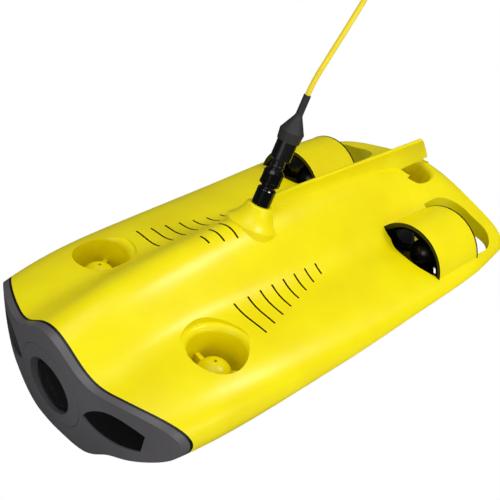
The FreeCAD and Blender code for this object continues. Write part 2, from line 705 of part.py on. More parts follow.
def lamp_column(side, inset):
    """The lamp window's outline, carried fore and aft as a column."""
    middle = Vector(0, 55, 49)
    corners = []
    for across, up in LAMP_CORNERS:
        out = Vector(0, across, up) - middle
        out = out * ((out.Length - inset) / out.Length)
        corners.append(Vector(0, (middle + out).y * side, (middle + out).z))
    point, top, outer, low = corners[0], corners[1:4], corners[4:6], corners[6:]
    edges = []
    for run in ([point, *top, outer[0]], outer, [outer[1], *low, point]):
        curve = Part.BSplineCurve()
        curve.interpolate(Points=run)
        edges.append(curve.toShape())
    return Part.Face(Part.Wire(edges)).extrude(Vector(REACH, 0, 0))


def face_slab(front, rear):
    """The part of the nose between two depths under the panel's face."""
    return behind_face(front).cut(behind_face(rear))


SEAM = measure("seam_gap")
WINDOW_RADIUS, RING_RADIUS = measure("window_radius"), measure("window_ring_radius")
WINDOW_SEAT = measure("window_seat")
nose = outside.common(behind_face(0))

panel = nose.cut(behind_face(BEZEL))
opening = on_camera_axis(RING_RADIUS + SEAM, 0, REACH)
panel = panel.cut([opening, lamp_column(1, 0), lamp_column(-1, 0)])
keep_shape("nose_bezel", panel)

seal = outside.cut(hull_skin(WALL + 1.4)).common(face_slab(BEZEL, BEZEL + GASKET))
keep_shape("nose_gasket", seal)

ring = on_camera_axis(RING_RADIUS, WINDOW_SEAT, REACH).common(nose)
ring = ring.cut(on_camera_axis(WINDOW_RADIUS + SEAM, 0, REACH))
keep_shape("window_ring", ring)

for side, hand in ((1, "port"), (-1, "starboard")):
    deep = LAMP_WINDOW_DEPTH + LAMP_WINDOW_THICKNESS
    window = lamp_column(side, SEAM).common(face_slab(LAMP_WINDOW_DEPTH, deep))
    keep_shape(f"{hand}_lamp_window", window)
    bowl = lamp_column(side, -LAMP_WALL).common(face_slab(BEZEL, LAMP_BOWL_DEPTH))
    well = lamp_column(side, SEAM).common(face_slab(0, LAMP_BOWL_DEPTH - LAMP_WALL))
    keep_shape(f"{hand}_lamp_bowl", bowl.cut([well, opening]))
    floor = LAMP_BOWL_DEPTH - LAMP_WALL
    board = lamp_column(side, 3.0).common(face_slab(floor - measure("board_thickness"), floor))
    keep_shape(f"{hand}_lamp_board", board)

# The camera looks through a flat window that seats on a tube from the front cap.
LOOK_AHEAD = Rotation(Vector(0, 1, 0), 90)


def ahead(distance):
    return Placement(Vector(distance, 0, measure("camera_height")), LOOK_AHEAD)


turned("camera_window", [
    ("0", "0"), ("window_radius", "0"), ("window_radius", "3"), ("window_radius - 6", "5"), ("0", "5.6"),
], ahead(WINDOW_SEAT))
turned("camera_tube", [
    ("window_radius - 3", "housing_front + cap_flange - window_seat"),
    ("window_radius + 2", "housing_front + cap_flange - window_seat"),
    ("window_radius + 2", "0"), ("window_radius - 3", "0"),
], ahead(WINDOW_SEAT))
turned("lens_barrel", [
    ("0", "1.6"), ("12", "1.6"), ("12", "12"), ("10", "14"), ("10", "24"),
    ("8", "24"), ("8", "21"), ("0", "21"),
], ahead(HOUSING_FRONT + measure("cap_flange")))
turned("camera_lens", [
    ("0", "21"), ("8", "21"), ("8", "22.4", "20.8", 1), ("0", "24"),
], ahead(HOUSING_FRONT + measure("cap_flange")))
slab("camera_board", "board_thickness", "24", "24",
     Vector(HOUSING_FRONT + measure("cap_flange"), -12, measure("camera_height") - 12))


# ------------------------------------------------------ the pressure housing
def oval_sketch(body, radius, name):
    """The housing's upright oval on the YZ plane, bound to the sheet."""
    sketch = new_sketch(body, "YZ_Plane", name)
    size = measure(radius)
    low, high = measure("housing_low"), measure("housing_low + housing_spread")
    circle = Part.Circle(Vector(0, high, 0), Vector(0, 0, 1), size)
    sketch.addGeometry(Part.ArcOfCircle(circle, 0, math.pi))
    sketch.addGeometry(Part.LineSegment(Vector(-size, high, 0), Vector(-size, low, 0)))
    circle = Part.Circle(Vector(0, low, 0), Vector(0, 0, 1), size)
    sketch.addGeometry(Part.ArcOfCircle(circle, math.pi, 2 * math.pi))
    sketch.addGeometry(Part.LineSegment(Vector(size, low, 0), Vector(size, high, 0)))
    for index in range(4):
        sketch.addConstraint(Sketcher.Constraint("Tangent", index, 2, (index + 1) % 4, 1))
    sketch.addConstraint(Sketcher.Constraint("PointOnObject", 0, 3, -2))
    bind(sketch, "Radius", (0,), radius)
    bind(sketch, "DistanceY", (-1, 1, 0, 3), "housing_low + housing_spread")
    bind(sketch, "DistanceY", (-1, 1, 2, 3), "housing_low")
    return sketch


def oval_pad(body, label, radius, start, length):
    """Pad the oval along the hull from a station for a length."""
    sketch = oval_sketch(body, radius, label + "_oval")
    sketch.AttachmentOffset = Placement(Vector(0, 0, measure(start)), Rotation())
    sketch.setExpression("AttachmentOffset.Base.z", bound(start))
    pad = body.newObject("PartDesign::Pad", label + "_pad")
    pad.Profile = sketch
    pad.setExpression("Length", bound(length))
    doc.recompute()


def oval_pocket(body, label, radius, start, length):
    """Cut the oval out of a body, from a station and towards the nose."""
    sketch = oval_sketch(body, radius, label + "_oval")
    sketch.AttachmentOffset = Placement(Vector(0, 0, measure(start)), Rotation())
    sketch.setExpression("AttachmentOffset.Base.z", bound(start))
    pocket = body.newObject("PartDesign::Pocket", label + "_pocket")
    pocket.Profile = sketch
    pocket.Reversed = True
    pocket.setExpression("Length", bound(length))
    doc.recompute()


housing = doc.addObject("PartDesign::Body", "pressure_housing")
oval_pad(housing, "housing", "housing_radius", "-housing_rear", "housing_front + housing_rear")
oval_pocket(housing, "housing_bore", "housing_radius - housing_wall", "-housing_rear - 1",
            "housing_front + housing_rear + 2")
keep("pressure_housing", housing)

SPIGOT = "housing_radius - housing_wall - 0.1"
front_cap = doc.addObject("PartDesign::Body", "front_end_cap")
oval_pad(front_cap, "front_flange", "housing_radius", "housing_front", "cap_flange")
oval_pad(front_cap, "front_spigot_outer", SPIGOT, "housing_front - cap_spigot / 3", "cap_spigot / 3")
oval_pad(front_cap, "front_spigot_core", SPIGOT + " - seal_section + 0.2",
         "housing_front - 2 * cap_spigot / 3", "cap_spigot / 3")
oval_pad(front_cap, "front_spigot_inner", SPIGOT, "housing_front - cap_spigot", "cap_spigot / 3")
keep("front_end_cap", front_cap)

rear_cap = doc.addObject("PartDesign::Body", "rear_end_cap")
oval_pad(rear_cap, "rear_flange", "housing_radius", "-housing_rear - cap_flange", "cap_flange")
oval_pad(rear_cap, "rear_spigot_outer", SPIGOT, "-housing_rear", "cap_spigot / 3")
oval_pad(rear_cap, "rear_spigot_core", SPIGOT + " - seal_section + 0.2",
         "-housing_rear + cap_spigot / 3", "cap_spigot / 3")
oval_pad(rear_cap, "rear_spigot_inner", SPIGOT, "-housing_rear + 2 * cap_spigot / 3", "cap_spigot / 3")
keep("rear_end_cap", rear_cap)

for label, station in (("front_cap_seal", "housing_front - 2 * cap_spigot / 3"),
                       ("rear_cap_seal", "-housing_rear + cap_spigot / 3")):
    cap_seal = doc.addObject("PartDesign::Body", label)
    oval_pad(cap_seal, label, "housing_radius - housing_wall", station, "seal_section")
    inner = SPIGOT + " - seal_section + 0.2"
    oval_pocket(cap_seal, label + "_inside", inner, station + " - 1", "seal_section + 2")
    keep(label, cap_seal)

# A tray across the housing carries the battery below and the boards above.
TRAY_HEIGHT = "housing_low + housing_spread / 2"
tray_rear = HOUSING_REAR + measure("cap_spigot") + 0.3
tray_half = measure("housing_radius - housing_wall") - 0.2
slab("electronics_tray", "housing_front + housing_rear - 2 * cap_spigot - 0.6",
     "2 * ( housing_radius - housing_wall ) - 0.4", "tray_thickness",
     Vector(tray_rear, -tray_half, measure(TRAY_HEIGHT)))
slab("battery_pack", "battery_length", "battery_width", "battery_height",
     Vector(-60, -measure("battery_width / 2"), measure(TRAY_HEIGHT + " - battery_height")))
board_height = measure(TRAY_HEIGHT + " + tray_thickness")
slab("control_board", "84", "38", "board_thickness", Vector(36, -19, board_height))
slab("motor_driver_board", "78", "38", "board_thickness", Vector(-62, -19, board_height))

turned("depth_sensor", [
    ("0", "-12"), ("4.5", "-12"), ("4.5", "-3"), ("7", "-3"), ("7", "0"), ("0", "0"),
], Placement(Vector(HOUSING_REAR - measure("cap_flange"), 0, measure("housing_low")), LOOK_AHEAD))


# ----------------------------------------------------------------- thrusters
def motor_can(label, outside_radius, place):
    """A closed can with a bearing at each end; its top seats in the hub."""
    inside = f"{outside_radius} - motor_wall"
    bearing = "shaft_radius + shaft_clearance"
    low, high = "-motor_length + motor_wall", "-motor_wall"
    return turned(label, [
        (bearing, "0"), (bearing, high), (inside, high), (inside, low), (bearing, low),
        (bearing, "-motor_length"), (outside_radius, "-motor_length"), (outside_radius, "0"),
    ], place)


def rotor(label, outside_radius, place):
    """Shaft and magnet drum, which turn inside the can."""
    drum = f"{outside_radius} - motor_wall - rotor_gap"
    low, high = "-motor_length + motor_wall + rotor_gap", "-motor_wall - rotor_gap"
    foot = "-motor_length - propeller_gap - propeller_hub_length"
    return turned(label, [
        ("0", "-0.3"), ("shaft_radius", "-0.3"), ("shaft_radius", high), (drum, high),
        (drum, low), ("shaft_radius", low), ("shaft_radius", foot), ("0", foot),
    ], place)


BLADES = 3
BLADE_ROOT = 3.4
# Propeller blade: share of the way from root to tip, chord as a share of the tip radius,
# pitch in degrees.
BLADE_STATIONS = [(0.0, 0.30, 42), (0.45, 0.58, 33), (0.78, 0.62, 26), (0.97, 0.40, 22)]
# Half of a blade's section: share of the half chord, share of the half thickness.
FOIL = [(-1, 0), (-0.5, 0.84), (0, 1), (0.5, 0.84), (1, 0)]


def blade_section(share, chord, pitch, tip_radius, middle, hand):
    """A flat section with sharp edges, standing across the blade's length."""
    half_chord = tip_radius * chord / 2
    half_thick = measure("blade_thickness / 2") * (1.1 - 0.55 * share)
    radius = BLADE_ROOT + (tip_radius - BLADE_ROOT) * share
    turn = math.radians(pitch) * hand
    flanks = []
    for flank in (1, -1):
        points = []
        for along, across in FOIL:
            along, across = flank * half_chord * along, flank * half_thick * across
            side = along * math.cos(turn) - across * math.sin(turn)
            rise = along * math.sin(turn) + across * math.cos(turn)
            points.append(Vector(radius, side, middle + rise))
        curve = Part.BSplineCurve()
        curve.interpolate(Points=points)
        flanks.append(curve.toShape())
    return Part.Wire(flanks)


def propeller(label, tip_radius, place, hand):
    """A hub on the shaft and three twisted blades, right handed (1) or left handed (-1)."""
    hub_radius, hub_length = measure("propeller_hub_radius"), measure("propeller_hub_length")
    top = -measure("motor_length + propeller_gap")
    hub = Part.makeCylinder(hub_radius, hub_length, Vector(0, 0, top - hub_length))
    rim = [edge for edge in hub.Edges if edge.BoundBox.ZMax < top - hub_length + 0.01]
    hub = hub.makeFillet(hub_radius * 0.45, rim)
    middle = top - hub_length / 2
    sections = [blade_section(*row, tip_radius, middle, hand) for row in BLADE_STATIONS]
    blade = Part.makeLoft(sections, True, False)
    blades = []
    for index in range(BLADES):
        turned_blade = blade.copy()
        turned_blade.rotate(Vector(0, 0, 0), UP, 360 / BLADES * index)
        blades.append(turned_blade)
    foot = Vector(0, 0, top - 2 * hub_length)
    bore = Part.makeCylinder(measure("shaft_radius"), 4 * hub_length, foot)
    return keep_shape(label, hub.fuse(blades).cut(bore), place)


VANES = 3
HUB_OPEN = "-hub_length"
MOTOR_TOP = "-hub_length + motor_length"
for name, forward, side, tip, rim in DUCTS:
    label = f"{name}_stator"
    seat = "hub_radius - hub_wall"
    stator = turned(label, [
        ("hub_hole_radius", "-4"), ("0", "-4"), ("0", MOTOR_TOP), (seat, MOTOR_TOP), (seat, HUB_OPEN),
        ("hub_radius", HUB_OPEN), ("hub_radius", "-hub_dome", "hub_radius + 1", 1),
        ("hub_hole_radius", "0"),
    ])
    half = "vane_thickness / 2"
    reach = "duct_bore_radius + 1"
    add_bars(stator, label, [
        ("hub_radius - 1", "-" + half), (reach, "-" + half), (reach, half), ("hub_radius - 1", half),
    ], "-hub_dome - vane_height", "-hub_dome", VANES)
    trim_round(stator, label, "duct_bore_radius", "duct_bore_radius + 4",
               "-hub_dome - vane_height - 1", "-hub_dome + 1")
    turn = -98.0 if side >= 0 else 98.0
    at = Placement(Vector(forward, side, tip), Rotation(UP, turn))
    keep(label, stator, at)
    can_top = Placement(Vector(forward, side, tip + measure(MOTOR_TOP)), Rotation())
    motor_can(f"{name}_motor", seat, can_top)
    rotor(f"{name}_rotor", seat, can_top)
    propeller(f"{name}_propeller", measure("propeller_radius"), can_top, 1 if side >= 0 else -1)

# The thrust units lie along the hull, looking ahead, in black liners.
THRUST_VANES = 5
for side, hand in ((1, "port"), (-1, "starboard")):
    lip = Vector(NACELLE_FRONT + measure("liner_lip"), side * NACELLE_SIDE, NACELLE_HEIGHT)
    bore = "nacelle_radius - nacelle_wall - liner_gap"
    rim, rear = "nacelle_radius + 0.2", "-nacelle_length - 2 * liner_lip"
    round_in = f"( {rim} - liner_throat_radius )"
    turned(f"{hand}_nacelle_liner", [
        ("liner_throat_radius", "-" + round_in, round_in + " * 1.01", -1),
        (rim, "0"), (rim, "-liner_lip"), (bore, "-liner_lip"),
        (bore, rear + " + liner_lip"), (rim, rear + " + liner_lip"), (rim, rear),
        ("liner_throat_radius + 2", rear), ("liner_throat_radius", rear + " + 6"),
    ], Placement(lip, LOOK_AHEAD))
    label = f"{hand}_thrust_stator"
    seat = "hub_radius - hub_wall"
    stator = turned(label, [
        ("hub_hole_radius + 0.8", "-5"), ("0", "-5"), ("0", MOTOR_TOP), (seat, MOTOR_TOP), (seat, HUB_OPEN),
        ("hub_radius", HUB_OPEN), ("hub_radius", "-hub_dome", "hub_radius + 1", 1),
        ("hub_hole_radius + 0.8", "0"),
    ])
    half = "vane_thickness / 3"
    reach = "liner_throat_radius + 1"
    add_bars(stator, label, [
        ("hub_radius - 1", "-" + half), (reach, "-" + half), (reach, half), ("hub_radius - 1", half),
    ], "-hub_dome - vane_height", "-hub_dome", THRUST_VANES)
    trim_round(stator, label, "liner_throat_radius", "liner_throat_radius + 4",
               "-hub_dome - vane_height - 1", "-hub_dome + 1")
    tip = lip - FORWARD * measure("thrust_hub_setback")
    keep(label, stator, Placement(tip, LOOK_AHEAD))
    can_top = Placement(tip + FORWARD * measure(MOTOR_TOP), LOOK_AHEAD)
    motor_can(f"{hand}_thrust_motor", seat, can_top)
    rotor(f"{hand}_thrust_rotor", seat, can_top)
    propeller(f"{hand}_thrust_propeller", measure("thrust_propeller_radius"), can_top, side)


# -------------------------------------------------------- tether and connector
def on_tether_axis(along):
    return Placement(TETHER_FRAME.multVec(Vector(0, 0, along)), TETHER_FRAME.Rotation)


turned("tether_socket", [
    ("0", "-socket_depth"), ("stem_radius", "-socket_depth"), ("stem_radius", "0"),
    ("socket_radius", "0"),
    ("socket_radius", "socket_length - 0.8"), ("socket_radius - 0.8", "socket_length"),
    ("neck_radius - 0.6", "socket_length"),
    ("neck_radius - 0.6", "socket_length - 6"), ("0", "socket_length - 6"),
], on_tether_axis(0))

nut_start = measure("socket_length + nut_gap")
nut = turned("coupling_nut", [
    ("neck_radius + 0.05", "0"), ("nut_radius - 1", "0"),
    ("nut_radius", "1"), ("nut_radius", "nut_length - 2.2"),
    ("nut_radius - 1.6", "nut_length"), ("neck_radius + 0.05", "nut_length"),
])
NUT_FLATS = 6
add_flat = nut.newObject("Sketcher::SketchObject", "nut_flat_outline")
add_flat.AttachmentSupport = [(origin_plane(nut, "XY_Plane"), "")]
add_flat.MapMode = "FlatFace"
draw_outline(add_flat, [
    ("nut_radius - 0.7", "-2.6"), ("nut_radius + 2", "-2.6"),
    ("nut_radius + 2", "2.6"), ("nut_radius - 0.7", "2.6"),
])
add_flat.AttachmentOffset = Placement(Vector(0, 0, 3), Rotation())
flat = nut.newObject("PartDesign::Pocket", "nut_flat")
flat.Profile = add_flat
flat.Reversed = True
flat.Length = measure("nut_length") - 6
doc.recompute()
flats = nut.newObject("PartDesign::PolarPattern", "nut_flats")
flats.Originals = [flat]
flats.Axis = (add_flat, ["N_Axis"])
flats.Angle = 360
flats.Occurrences = NUT_FLATS
nut.Tip = flats
doc.recompute()
keep("coupling_nut", nut, on_tether_axis(nut_start))

PLUG_TOP = "nut_gap + nut_length + neck_length"
turned("plug_body", [
    ("0", "-6"), ("neck_radius - 0.65", "-6"), ("neck_radius - 0.65", "0"), ("neck_radius", "0"),
    ("neck_radius", "nut_gap + nut_length + 2"), ("neck_radius + 0.5", "nut_gap + nut_length + 2.6"),
    ("neck_radius + 0.5", "nut_gap + nut_length + 3.4"), ("neck_radius", "nut_gap + nut_length + 4"),
    ("neck_radius", PLUG_TOP + " + sleeve_length"), ("0", PLUG_TOP + " + sleeve_length"),
], on_tether_axis(measure("socket_length")))

sleeve_start = measure("socket_length + " + PLUG_TOP)
FLUTES = 8
sleeve = turned("grip_sleeve", [
    ("neck_radius", "0"), ("sleeve_radius - 0.8", "0"), ("sleeve_radius", "0.8"),
    ("sleeve_radius", "sleeve_length"), ("neck_radius", "sleeve_length"),
])
flute_sketch = new_sketch(sleeve, "XY_Plane", "flute_outline")
draw_outline(flute_sketch, [
    ("sleeve_radius - 0.6", "-1.2"), ("sleeve_radius + 1", "-1.2"),
    ("sleeve_radius + 1", "1.2"), ("sleeve_radius - 0.6", "1.2"),
])
flute = sleeve.newObject("PartDesign::Pocket", "flute")
flute.Profile = flute_sketch
flute.Reversed = True
flute.setExpression("Length", bound("sleeve_length"))
doc.recompute()
flutes = sleeve.newObject("PartDesign::PolarPattern", "flutes")
flutes.Originals = [flute]
flutes.Axis = (flute_sketch, ["N_Axis"])
flutes.Angle = 360
flutes.Occurrences = FLUTES
sleeve.Tip = flutes
doc.recompute()
keep("grip_sleeve", sleeve, on_tether_axis(sleeve_start))

boot_start = sleeve_start + measure("sleeve_length")
turned("strain_relief_boot", [
    ("0", "0"), ("boot_radius", "0"), ("boot_radius + 0.8", "boot_length"),
    ("boot_tail_radius + 0.4", "boot_length + boot_cone"),
    ("boot_tail_radius", "boot_length + boot_cone + 1.5"),
    ("boot_tail_radius", "boot_length + boot_cone + boot_tail"), ("0", "boot_length + boot_cone + boot_tail"),
], on_tether_axis(boot_start))
boot_end = boot_start + measure("boot_length + boot_cone + boot_tail")

# The tether is held taut from above: points along its middle, in the hull's frame.
start = TETHER_FRAME.multVec(Vector(0, 0, boot_end))
first = TETHER_FRAME.multVec(Vector(0, 0, boot_end + 10))
ROUTE = [start, first, Vector(-27.8, 0, 239.5), Vector(-46.8, 0, 267.7), Vector(-60.5, 0, 289.0)]
TETHER = measure("tether_radius")


def tube(route, radius):
    """A round cord along straight runs that are joined by tangent arcs."""
    edges, at = [], route[0]
    for before, corner, after in zip(route, route[1:], route[2:]):
        back, ahead_way = before - corner, after - corner
        turn = math.pi - back.getAngle(ahead_way)
        tangent = 0.45 * min(back.Length, ahead_way.Length)
        bend = tangent / math.tan(turn / 2)
        enter = corner + back.normalize() * tangent
        leave = corner + ahead_way.normalize() * tangent
        inward = (back + ahead_way).normalize()
        centre = corner + inward * math.hypot(bend, tangent)
        middle = centre - inward * bend
        edges.append(Part.LineSegment(at, enter).toShape())
        edges.append(Part.Arc(enter, middle, leave).toShape())
        print("tether bend radius", round(bend, 1))
        at = leave
    edges.append(Part.LineSegment(at, route[-1]).toShape())
    path = Part.Wire(edges)
    ring = Part.Wire([Part.Circle(route[0], route[1] - route[0], radius).toShape()])
    cord = path.makePipeShell([ring], True, False)
    print("tether volume share", round(cord.Volume / (path.Length * math.pi * radius ** 2), 4))
    return cord


keep_shape("tether", tube(ROUTE, TETHER))
far = (ROUTE[-1] - ROUTE[-2]).normalize()
turned("topside_connector", [
    ("0", "0"), ("tether_radius + 1.2", "0"), ("tether_radius + 3", "8"), ("tether_radius + 5.5", "12"),
    ("tether_radius + 5.5", "30"), ("0", "30"),
], Placement(ROUTE[-1], Rotation(UP, far)))

# ------------------------------------------------- fasteners, inserts, ballast
inserts = []
for forward in insert_places():
    brass = upright(measure("insert_radius"), forward, 0, 0, measure("insert_length"))
    inserts.append(brass.cut(upright(measure("insert_bore_radius"), forward, 0, -1, REACH)))
keep_shape("mount_inserts", Part.makeCompound(inserts))

screws = []
for forward, side, waist in screw_places():
    seat = waist - 6
    screw = upright(measure("screw_head_radius"), forward, side, seat - SCREW_HEAD, seat)
    screw = screw.fuse(upright(measure("screw_radius"), forward, side, seat, seat + SCREW_SHANK - 5))
    socket = upright(1.25, forward, side, seat - SCREW_HEAD, seat - SCREW_HEAD + 1.3)
    screws.append(screw.removeSplitter().cut(socket))
keep_shape("shell_screws", Part.makeCompound(screws))

bars = []
for side in (1, -1):
    low = Vector(-43, side * 18 - measure("ballast_width / 2"), WALL + 2.2)
    size = [measure(f"ballast_{side}") for side in ("length", "width", "height")]
    bars.append(Part.makeBox(*size, low))
keep_shape("ballast_weights", Part.makeCompound(bars))

doc.recompute()
faults = [item.Name for item in doc.Objects if {"Invalid", "Error"} & set(item.State)]
for label, piece in pieces.items():
    if piece.Shape.isNull() or not piece.Shape.isValid():
        faults.append(label)
if faults:
    raise RuntimeError("these did not build: " + ", ".join(faults))

os.makedirs("parts", exist_ok=True)
for label, piece in pieces.items():
    piece.Shape.exportStep(f"parts/{label}.step")
print(len(pieces), "sub-parts written")
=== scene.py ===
import math
import bpy
from mathutils import Matrix, Vector


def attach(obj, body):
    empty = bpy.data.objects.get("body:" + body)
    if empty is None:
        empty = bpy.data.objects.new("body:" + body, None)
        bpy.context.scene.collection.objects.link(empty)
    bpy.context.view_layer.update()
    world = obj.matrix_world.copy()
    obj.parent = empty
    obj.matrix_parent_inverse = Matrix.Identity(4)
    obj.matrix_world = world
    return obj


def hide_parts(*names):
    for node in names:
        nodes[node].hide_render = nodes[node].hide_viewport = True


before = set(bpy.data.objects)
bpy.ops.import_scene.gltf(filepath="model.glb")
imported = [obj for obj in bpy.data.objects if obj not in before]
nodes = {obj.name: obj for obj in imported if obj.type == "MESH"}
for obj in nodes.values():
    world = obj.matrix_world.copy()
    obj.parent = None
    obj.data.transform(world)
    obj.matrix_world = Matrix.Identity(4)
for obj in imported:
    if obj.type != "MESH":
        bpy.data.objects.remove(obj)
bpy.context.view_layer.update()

# ------------------------------------------------------------------------ camera
# A product shot from ahead, above and to port, with the vehicle rolled a little in the
# view. The lens is a short telephoto, so that the lines of the hull stay calm.
VIEW_AZIMUTH = math.radians(39.83)
VIEW_ELEVATION = math.radians(33.75)
VIEW_ROLL = math.radians(11.12)
VIEW_DISTANCE = 0.839
VIEW_TARGET = Vector((-0.03805, -0.04437, 0.04702))
LENS_MM = 73.78
SENSOR_MM = 36.0
NEAR_CLIP = 0.01

camera_data = bpy.data.cameras.new("product_camera")
camera_data.lens = LENS_MM
camera_data.sensor_width = SENSOR_MM
camera_data.clip_start = NEAR_CLIP
camera = bpy.data.objects.new("product_camera", camera_data)
bpy.context.scene.collection.objects.link(camera)
back = Vector((
    math.cos(VIEW_ELEVATION) * math.cos(VIEW_AZIMUTH),
    math.cos(VIEW_ELEVATION) * math.sin(VIEW_AZIMUTH),
    math.sin(VIEW_ELEVATION),
))
level_right = Vector((0, 0, 1)).cross(back).normalized()
level_up = back.cross(level_right)
right = level_right * math.cos(VIEW_ROLL) + level_up * math.sin(VIEW_ROLL)
up = back.cross(right)
stand = Matrix((right, up, back)).transposed().to_4x4()
stand.translation = VIEW_TARGET + back * VIEW_DISTANCE
camera.matrix_world = stand
bpy.context.scene.camera = camera
bpy.context.scene.view_settings.view_transform = "Standard"


# ------------------------------------------------------------------- shell moulding
# Two injection-moulded ABS shells meet at a parting line round the waist and are held
# by screws. The skin is a satin lemon yellow with a very fine spark-eroded grain, and
# the hubs and vanes of the lift ducts are moulded in the same colour.
DRIFT_BAND = (0.3, 0.7)         # noise values between which one tone passes to the other
GLOSS_SPREAD = (0.88, 1.12)     # least and greatest share of the stated roughness
GRAIN_STRENGTH = 0.6
PLASTIC_IOR = 1.5


def linear(hex_colour):
    """Turn an sRGB hex colour into the linear values that shaders use."""
    values = [int(hex_colour[place:place + 2], 16) / 255 for place in (1, 3, 5)]
    return [v / 12.92 if v <= 0.04045 else ((v + 0.055) / 1.055) ** 2.4 for v in values] + [1.0]


def add_node(tree, kind, settings=None, links=None, sockets=None):
    """Add a node, set it up and join its inputs to other nodes' outputs."""
    node = tree.nodes.new(kind)
    for name, value in (settings or {}).items():
        setattr(node, name, value)
    for name, value in (sockets or {}).items():
        node.inputs[name].default_value = value
    for name, source in (links or {}).items():
        tree.links.new(source, node.inputs[name])
    return node


def new_material(name):
    """A material with an empty node tree but for its output."""
    material = bpy.data.materials.new(name)
    material.use_nodes = True
    tree = material.node_tree
    tree.nodes.clear()
    return material, tree, add_node(tree, "ShaderNodeOutputMaterial")


def moulded(name, colour, shade, roughness, grain_mm, depth_mm, mottle_mm=40.0, specular=0.5):
    """A moulded plastic or rubber: slow colour drift, fine grain, uneven gloss."""
    material, tree, output = new_material(name)
    place = add_node(tree, "ShaderNodeTexCoord").outputs["Object"]
    drift = add_node(tree, "ShaderNodeTexNoise", links={"Vector": place},
                     sockets={"Scale": 1000 / mottle_mm, "Detail": 2.0})
    tint = add_node(tree, "ShaderNodeValToRGB", links={"Fac": drift.outputs["Fac"]})
    for stop, position, tone in zip(tint.color_ramp.elements, DRIFT_BAND, (shade, colour)):
        stop.position = position
        stop.color = linear(tone)
    grain = add_node(tree, "ShaderNodeTexNoise", links={"Vector": place},
                     sockets={"Scale": 1000 / grain_mm, "Detail": 3.0})
    gloss = add_node(tree, "ShaderNodeMapRange", links={"Value": grain.outputs["Fac"]},
                     sockets={"To Min": roughness * GLOSS_SPREAD[0], "To Max": roughness * GLOSS_SPREAD[1]})
    bump = add_node(tree, "ShaderNodeBump", links={"Height": grain.outputs["Fac"]},
                    sockets={"Strength": GRAIN_STRENGTH, "Distance": depth_mm / 1000})
    shader = add_node(tree, "ShaderNodeBsdfPrincipled",
                      links={"Base Color": tint.outputs["Color"], "Roughness": gloss.outputs["Result"],
                             "Normal": bump.outputs["Normal"]},
                      sockets={"IOR": PLASTIC_IOR, "Specular IOR Level": specular})
    tree.links.new(shader.outputs["BSDF"], output.inputs["Surface"])
    return material


def finish_nodes(material, *names):
    """Give a CAD node's own slots this material."""
    for name in names:
        mesh = nodes[name].data
        for place in range(len(mesh.materials)):
            mesh.materials[place] = material
        if not mesh.materials:
            mesh.materials.append(material)


# Where the slots and the flooded inside lie, in metres in the vehicle's frame; painted shade goes on these
# places.
SLOTS_MID_X = 0.0275
SLOTS_HALF_LENGTH = 0.0445
SLOTS_HALF_WIDTH = 0.0725
SLOTS_LOWEST = 0.082
BOSS_HALF_WIDTH = 0.03
BOSS_FRONT = 0.038
ROOF_LOWEST = 0.084
FLOOR_HIGHEST = 0.045
INSIDE_REAR = -0.14
# How far a face leans, as the upright part of its normal.
STEEPEST_LEAN = 0.25
LEVEL_LEAN = 0.15


def paint_inside_shade(material):
    """Paint shade near black onto the flooded inside and the walls of the vent slots.

    Next to no light gets in through the slots, so their walls and what lies behind
    them read as black; the near black here is painted shade. Outside faces of this
    hull look down only below the waist.
    """
    tree = material.node_tree
    geometry = add_node(tree, "ShaderNodeNewGeometry")
    place = add_node(tree, "ShaderNodeSeparateXYZ", links={"Vector": geometry.outputs["Position"]})
    facing = add_node(tree, "ShaderNodeSeparateXYZ", links={"Vector": geometry.outputs["True Normal"]})

    def step(operation, value, other):
        node = add_node(tree, "ShaderNodeMath", settings={"operation": operation})
        for socket, entry in zip(node.inputs, (value, other)):
            if isinstance(entry, float):
                socket.default_value = entry
            else:
                tree.links.new(entry, socket)
        return node.outputs[0]

    def all_of(*tests):
        answer = tests[0]
        for test in tests[1:]:
            answer = step("MULTIPLY", answer, test)
        return answer

    x, z, lean = place.outputs["X"], place.outputs["Z"], facing.outputs["Z"]
    side = step("ABSOLUTE", place.outputs["Y"], 0.0)
    steep = step("LESS_THAN", step("ABSOLUTE", lean, 0.0), STEEPEST_LEAN)
    from_slots_mid = step("ABSOLUTE", step("SUBTRACT", x, SLOTS_MID_X), 0.0)
    among_slots = step("LESS_THAN", from_slots_mid, SLOTS_HALF_LENGTH)
    clear_of_boss = step("MAXIMUM", step("GREATER_THAN", side, BOSS_HALF_WIDTH),
                         step("GREATER_THAN", x, BOSS_FRONT))
    slot_walls = all_of(steep, among_slots, step("LESS_THAN", side, SLOTS_HALF_WIDTH),
                        step("GREATER_THAN", z, SLOTS_LOWEST), clear_of_boss)
    roof_inside = all_of(step("LESS_THAN", lean, -LEVEL_LEAN), step("GREATER_THAN", x, INSIDE_REAR),
                         step("GREATER_THAN", z, ROOF_LOWEST))
    floor_inside = all_of(step("GREATER_THAN", lean, LEVEL_LEAN), step("LESS_THAN", z, FLOOR_HIGHEST),
                          step("GREATER_THAN", x, INSIDE_REAR))
    painted_shade_mask = step("MAXIMUM", slot_walls, step("MAXIMUM", roof_inside, floor_inside))
    output = next(node for node in tree.nodes if node.type == "OUTPUT_MATERIAL")
    outside = output.inputs["Surface"].links[0].from_socket
    # Painted shade: a near black diffuse put on the masked faces in place of the shade inside the hull.
    painted_shade_bsdf = add_node(tree, "ShaderNodeBsdfDiffuse", sockets={"Color": linear("#060603")})
    choice = add_node(tree, "ShaderNodeMixShader", links={"Fac": painted_shade_mask})
    tree.links.new(outside, choice.inputs[1])
    tree.links.new(painted_shade_bsdf.outputs["BSDF"], choice.inputs[2])
    tree.links.new(choice.outputs["Shader"], output.inputs["Surface"])


yellow_abs = moulded("yellow_moulded_abs", "#f2e402", "#ecda01", 0.3, 0.6, 0.012, specular=0.3)
yellow_shell_painted_shade = moulded("yellow_moulded_abs_shell_painted_shade", "#f2e402", "#ecda01", 0.3, 0.6, 0.012, specular=0.3)
